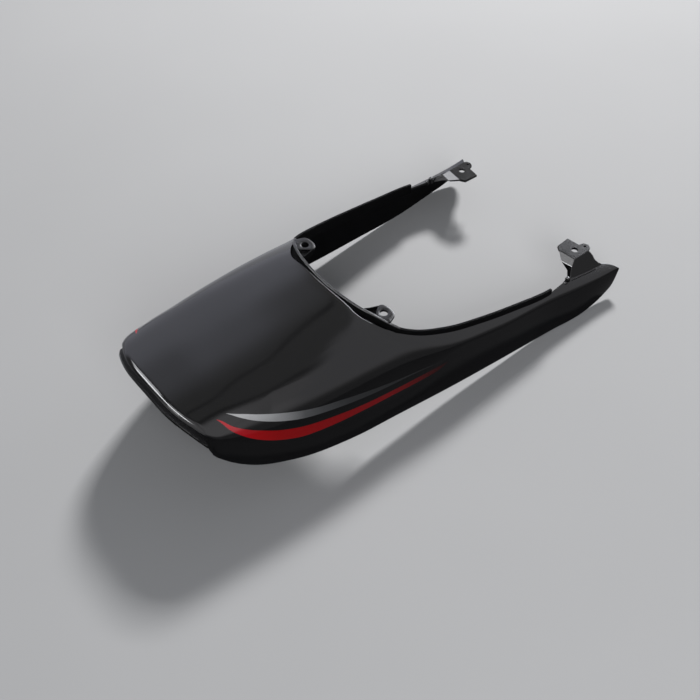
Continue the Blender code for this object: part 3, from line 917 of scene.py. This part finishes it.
# The folded sheet of each side: a level plate, sloped facets and a web, bent softly and made thick below
def buildBrackets():
    corner = bracket["corners"]
    plate, tris = plateWithHoles([corner[k][:2] for k in bracket["plate"]],
                                 [bracket["bolt"], bracket["pin"]], bracket["plateUp"])
    names = list(corner)
    half = np.concatenate([plate, np.array(list(corner.values()), float)])
    right = tris + [[len(plate) + names.index(n) for n in facet] for facet in bracket["facets"]]
    left = [[len(half) + i for i in face[::-1]] for face in right]
    points = np.concatenate([toFrame(half) * [sign, 1, 1] for sign in (1, -1)])
    mesh = bpy.data.meshes.new("frontBrackets")
    mesh.from_pydata([tuple(p) for p in points], [], right + left)
    mesh.update(calc_edges=True)
    merged(mesh, drawn["fineWeld"])
    facingUp(mesh)
    thing = placed("frontBrackets", mesh, [bracketBlack, bareBlackAndShade])
    bevelled(thing, "fold", *bracket["bend"])
    thickened(thing, "sheet", bracket["sheet"], True, 1)
    bevelled(thing, "edge", *bracket["edge"])
    level = thing.modifiers.new("level", "WEIGHTED_NORMAL")
    level.mode = "FACE_AREA"
    level.weight = bracket["level"]
    return thing


frontBrackets = buildBrackets()
footBlocks = buildBlocks()
footShadowLines = buildShadowLines()
print("brackets ready")

studio = {
    "floor": (0.50, 0.505, 0.515),
    "floorHalf": 2.6,
    "floorPoints": 25,
    "floorCloud": (3.0, 3.0, 0.5),  # scale, detail and roughness of its mottle
    "floorTone": [(0.3, 0.97), (0.7, 1.0)],
    "floorRough": 0.85,
    # painted shade in reflections: the floor as gloss mirrors it, pale on the bike's left, darker from there
    # to the right
    "floorShadeInGloss": [(-0.30, (0.55, 0.56, 0.60)), (-0.14, (0.14, 0.14, 0.145))],
    "air": (0.16, 0.165, 0.175),  # light of the air on matt surfaces
    "gloom": (0.30, 0.30, 0.31),  # what gloss shows between the panels
    # light and the half spaces (direction, where it starts, where it is full) of each soft panel in gloss
    "panels": {
        "middle": ((0.50, 0.50, 0.50), [((0, 1, 0), 0.05, 0.2), ((0, 0, 1), 0.1, 0.5)]),
        "right": ((1.22, 1.20, 1.24), [
            ((1, -0.7, 0), -0.04, 0.04), ((0, 0, 1), 0.15, 0.5), ((0, 1, 0), 0.0, 0.2)]),
        "corner": ((1.65, 1.63, 1.68), [
            ((1, -0.7, 0), -0.02, 0.05), ((0, -1, 0), -0.30, -0.14), ((0, 0, 1), 0.25, 0.55)]),
        "rightStreak": ((0.22, 0.22, 0.22), [
            ((1, -0.7, 0), -0.12, -0.09), ((-1, 0.7, 0), 0.03, 0.05), ((0, -1, 0), -0.45, -0.4)]),
        "front": ((1.10, 1.10, 1.15), [((0.25, 1, 0), 0.44, 0.50), ((0, 0, 1), 0.25, 0.45)]),
        "left": ((1.45, 1.48, 1.68), [
            ((-1, -1.14, 0), -0.05, 0.30), ((0, -0.8, 1), -0.36, -0.12), ((-0.5, 1, -0.35), 0.05, 0.4)]),
        "leftLow": ((0.90, 0.915, 1.04), [
            ((-1, 0, 0), 0.60, 0.75), ((0, 0, -1), -0.7, -0.1), ((-0.5, 1, -0.35), 0.05, 0.4)]),
        "leftStreak": ((0.22, 0.22, 0.22), [
            ((-1, -1.14, 0), -0.09, -0.065), ((1, 1.14, 0), 0.02, 0.04), ((0, -1, 0), -0.5, -0.44)]),
        "frontStrip": ((24.0, 24.5, 26.0), [
            ((0, 1, 0), 0.67, 0.70), ((0, -1, 0), -0.86, -0.82), ((-1, 0, 0), 0.0, 0.08),
            ((1, 0, 0), -0.62, -0.55), ((0, 0, 1), 0.3, 0.4)]),
        "rearLeft": ((9.5, 9.6, 10.0), [
            ((0, -1, 0), 0.04, 0.08), ((-1, 0, 0), 0.53, 0.58), ((0, 0, 1), 0.5, 0.6)]),
        "rearLow": ((1.6, 1.6, 1.65), [
            ((0, -1, 0), 0.78, 0.82), ((0, 0, 1), 0.02, 0.1), ((0, 0, -1), -0.35, -0.28),
            ((1, 0, 0), -0.62, -0.56)]),
        "rearRight": ((4.6, 4.6, 4.7), [
            ((0, -1, 0), 0.12, 0.16), ((1, 0, 0), -0.42, -0.38), ((-1, 0, 0), 0.04, 0.09),
            ((0, 0, 1), 0.5, 0.6)]),
        "rearStrip": ((26.0, 26.2, 27.0), [
            ((0, -1, 0), 0.37, 0.40), ((0, 1, 0), -0.54, -0.51), ((0, 0, 1), 0.5, 0.6),
            ((-1, 0, 0), -0.25, -0.05)]),
    },
    "waver": 0.10,  # how far the panels' edges waver
    "waverNoise": (4.5, 2.5, 0.5),
    # place, size, brightness, colour: lamps that light matt surfaces and stay out of the gloss
    "lights": {
        "keySoftbox": ((-1.32, 1.84, 2.12), (0.55, 0.55), 100.0, (1.0, 0.99, 0.98)),
        "fillSoftbox": ((1.9, -0.9, 1.4), (1.2, 1.2), 4.6, (1.0, 1.0, 1.0)),
    },
    "aim": (0.0, 0.0, 0.06),
    "camera": (0.565, -0.4935, 0.8402),
    "turn": (40.79, 0.0, 50.36),
    "lens": 50.0,
    "sensor": 36.0,
}


# A wide plane with a faint mottle. Gloss mirrors it in two other tones led by a smooth step across: painted
# shade in its reflections.
def paleFloor():
    count = studio["floorPoints"]
    span = np.linspace(-studio["floorHalf"], studio["floorHalf"], count)
    x, y = np.meshgrid(span, span, indexing="ij")
    mesh = meshFrom("paleFloor", np.stack([x, y, np.zeros_like(x)], -1), gridFaces(count, count))
    facingUp(mesh)
    material, tree, shader = nodesOf("pale_floor")
    coords = addNode(tree, "ShaderNodeTexCoord").outputs["Object"]
    cloud = noiseOf(tree, coords, *studio["floorCloud"])
    tone = tonesOf(tree, studio["floor"], studio["floorTone"], cloud)
    across = addNode(tree, "ShaderNodeSeparateXYZ", {"Vector": coords}).outputs["X"]
    ends, colours = zip(*studio["floorShadeInGloss"])
    mirrored = rampOf(tree, list(zip((0.0, 1.0), colours)), spanOf(tree, across, ends, kind="SMOOTHSTEP"))
    # gloss sees the painted shade tones, the camera the floor's own
    isGloss = addNode(tree, "ShaderNodeLightPath").outputs["Is Glossy Ray"]
    tree.links.new(mixOf(tree, isGloss, tone, mirrored), shader.inputs["Base Color"])
    shader.inputs["Roughness"].default_value = studio["floorRough"]
    shader.inputs["Specular IOR Level"].default_value = 0.0
    mesh.materials.append(material)
    floor = bpy.data.objects.new("paleFloor", mesh)
    bpy.context.scene.collection.objects.link(floor)


# Soft lamps aimed at the fairing: each one's power is its brightness times pi times its area
def softLights():
    for name, (place, size, bright, colour) in studio["lights"].items():
        data = bpy.data.lights.new(name, "AREA")
        data.shape = "RECTANGLE"
        data.size, data.size_y = size
        data.energy = bright * math.pi * size[0] * size[1]
        data.color = colour
        lamp = bpy.data.objects.new(name, data)
        lamp.location = place
        lamp.visible_glossy = False
        lamp.rotation_euler = (Vector(studio["aim"]) - Vector(place)).to_track_quat("-Z", "Y").to_euler()
        bpy.context.scene.collection.objects.link(lamp)


# Even pale air for matt surfaces. In gloss, soft panels lie over each other: a panel's cover is the
# product of smooth steps along its directions, which waver a little as stretched cloth does.
def softAir():
    world = bpy.data.worlds.new("softAir")
    world.use_nodes = True
    tree = world.node_tree
    aim = addNode(tree, "ShaderNodeTexCoord").outputs["Generated"]
    wave = noiseOf(tree, aim, *studio["waverNoise"], "Color")
    centred = vectorOf(tree, "SUBTRACT", {0: wave, 1: (0.5, 0.5, 0.5)})
    small = vectorOf(tree, "SCALE", {0: centred, "Scale": studio["waver"]})
    way = vectorOf(tree, "ADD", {0: aim, 1: small})
    seen = (*studio["gloom"], 1)
    for light, steps in studio["panels"].values():
        cover = None
        for direction, *ends in steps:
            along = vectorOf(tree, "DOT_PRODUCT", {0: way, 1: direction}, "Value")
            step = spanOf(tree, along, ends, kind="SMOOTHSTEP")
            cover = step if cover is None else mathOf(tree, "MULTIPLY", cover, step)
        seen = mixOf(tree, cover, seen, (*light, 1))
    isGloss = addNode(tree, "ShaderNodeLightPath").outputs["Is Glossy Ray"]
    sky = mixOf(tree, isGloss, (*studio["air"], 1), seen)
    tree.links.new(sky, tree.nodes["Background"].inputs["Color"])
    bpy.context.scene.world = world


paleFloor()
softLights()
softAir()

view = bpy.data.cameras.new("photoView")
view.lens = studio["lens"]
view.sensor_width = studio["sensor"]
camera = bpy.data.objects.new("photoView", view)
camera.location = studio["camera"]
camera.rotation_euler = [math.radians(a) for a in studio["turn"]]
bpy.context.scene.collection.objects.link(camera)
bpy.context.scene.camera = camera
bpy.context.scene.view_settings.view_transform = "Standard"
print("studio ready")

bpy.context.view_layer.update()
